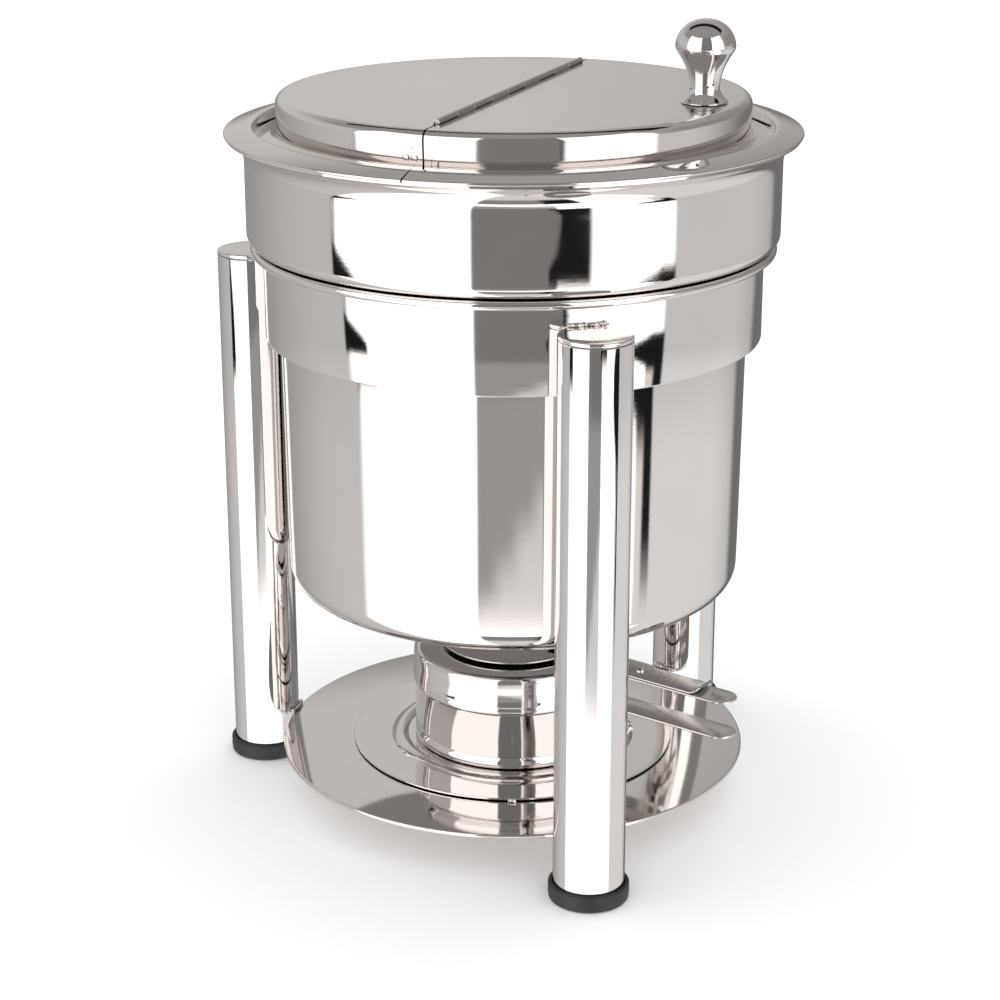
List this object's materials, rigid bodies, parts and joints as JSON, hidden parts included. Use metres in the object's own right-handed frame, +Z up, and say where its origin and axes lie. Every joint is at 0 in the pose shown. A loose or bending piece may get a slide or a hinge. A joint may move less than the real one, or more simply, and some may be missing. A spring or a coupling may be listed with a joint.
{
  "type": "soup kettle",
  "caption": "Round stainless steel soup kettle on a three-legged stand: water pan, food pan, lid with a hinged flap and knob, and a fuel burner with a damper.",
  "frame": {"origin": "on the floor, under the centre of the vessel, level with the undersides of the three feet", "axes": "+Z up along the vessel's axis; the lid's knob is at the front, -Y; the lid's hinge lies along X"},
  "size_m": [0.3145, 0.3272, 0.4445],
  "materials": {
    "polished_stainless": "mirror polished stainless steel",
    "satin_stainless": "plain satin stainless steel",
    "weld_metal": "bare weld bead, rippled",
    "black_rubber": "smooth black rubber"
  },
  "bodies": {
    "stand": {"ring_band": "polished_stainless", "base_plate": "polished_stainless", "burner_seat": "polished_stainless", "leg_tube_1": "polished_stainless", "leg_cap_1": "polished_stainless", "leg_foot_1": "black_rubber", "ring_weld_1": "weld_metal", "plate_weld_1": "weld_metal", "seat_tack_1": "weld_metal", "leg_tube_2": "polished_stainless", "leg_cap_2": "polished_stainless", "leg_foot_2": "black_rubber", "ring_weld_2": "weld_metal", "plate_weld_2": "weld_metal", "seat_tack_2": "weld_metal", "leg_tube_3": "polished_stainless", "leg_cap_3": "polished_stainless", "leg_foot_3": "black_rubber", "ring_weld_3": "weld_metal", "plate_weld_3": "weld_metal", "seat_tack_3": "weld_metal"},
    "water_pan": {"water_pan": "polished_stainless"},
    "food_pan": {"food_pan": "polished_stainless", "food_pan_rim": "polished_stainless"},
    "lid": {"lid_fixed_half": "polished_stainless", "hinge_leaf_fixed": "satin_stainless", "hinge_pin": "satin_stainless", "seam_clip_left": "satin_stainless", "seam_clip_right": "satin_stainless"},
    "lid_flap": {"lid_flap": "polished_stainless", "hinge_leaf_flap": "satin_stainless", "knob": "polished_stainless", "knob_screw": "satin_stainless"},
    "burner": {"burner_can": "polished_stainless", "can_handle": "polished_stainless", "can_handle_rivet_1": "satin_stainless", "can_handle_rivet_2": "satin_stainless", "fuel_tin": "satin_stainless"},
    "burner_cap": {"burner_cap": "polished_stainless", "cap_handle": "polished_stainless", "cap_handle_rivet_1": "satin_stainless", "cap_handle_rivet_2": "satin_stainless", "damper_rivet": "satin_stainless"},
    "damper": {"damper": "polished_stainless"}
  },
  "joints": [
    {"name": "water_pan_lift", "type": "slide", "parent": "stand", "child": "water_pan", "axis": [0, 0, 1], "range_m": [0, 0.2]},
    {"name": "food_pan_lift", "type": "slide", "parent": "water_pan", "child": "food_pan", "axis": [0, 0, 1], "range_m": [0, 0.2]},
    {"name": "lid_lift", "type": "slide", "parent": "food_pan", "child": "lid", "axis": [0, 0, 1], "range_m": [0, 0.06]},
    {"name": "lid_flap_hinge", "type": "hinge", "parent": "lid", "child": "lid_flap", "pos_m": [0, 0, 0.4026], "axis": [-1, 0, 0], "range_deg": [0, 154]},
    {"name": "burner_lift", "type": "slide", "parent": "stand", "child": "burner", "axis": [0, 0, 1], "range_m": [0, 0.018]},
    {"name": "burner_cap_lift", "type": "slide", "parent": "burner", "child": "burner_cap", "axis": [0, 0, 1], "range_m": [0, 0.014]},
    {"name": "damper_swing", "type": "hinge", "parent": "burner_cap", "child": "damper", "pos_m": [-0.02396, -0.08468, 0.0874], "axis": [0, 0, 1], "range_deg": [-53, 53]}
  ]
}
